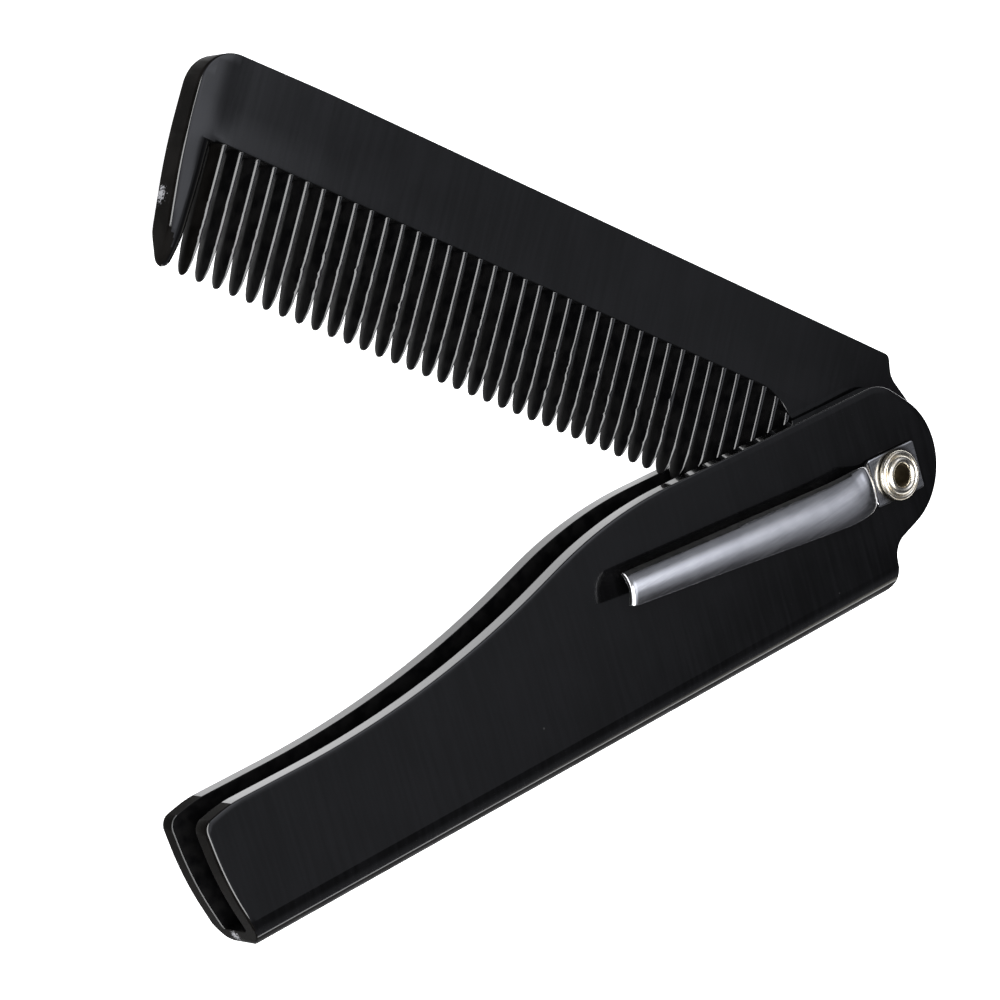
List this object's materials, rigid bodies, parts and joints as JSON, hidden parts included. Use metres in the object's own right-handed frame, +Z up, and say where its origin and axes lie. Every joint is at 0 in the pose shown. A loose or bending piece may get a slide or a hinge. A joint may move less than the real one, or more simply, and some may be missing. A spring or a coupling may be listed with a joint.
{
  "type": "folding comb",
  "caption": "Folding pocket comb: a fine-toothed blade swings on a hollow rivet into a channel-shaped handle that carries a metal pocket clip.",
  "frame": {"origin": "under the middle of the open comb's bounding box, on the plane that the handle's back plate lies on", "axes": "+X along the handle from its free end to the rivet, +Y from the handle's closed spine towards the open side and the swung-out blade, +Z up from the back plate to the plate with the clip"},
  "size_m": [0.0924, 0.0712, 0.0097],
  "materials": {
    "handle_plastic": "satin black, lightly scuffed",
    "blade_plastic": "satin black",
    "clip_steel": "bright, fine lengthwise grain",
    "rivet_nickel": "polished warm nickel"
  },
  "bodies": {
    "handle_body": {"handle": "handle_plastic", "pocket_clip": "clip_steel", "eyelet_rivet": "rivet_nickel"},
    "blade_body": {"comb_blade": "blade_plastic"}
  },
  "joints": [
    {"name": "comb_fold", "type": "hinge", "parent": "handle_body", "child": "blade_body", "pos_m": [0.03925, -0.0246, 0.0033], "axis": [0, 0, -1], "range_deg": [-38, 142]}
  ]
}
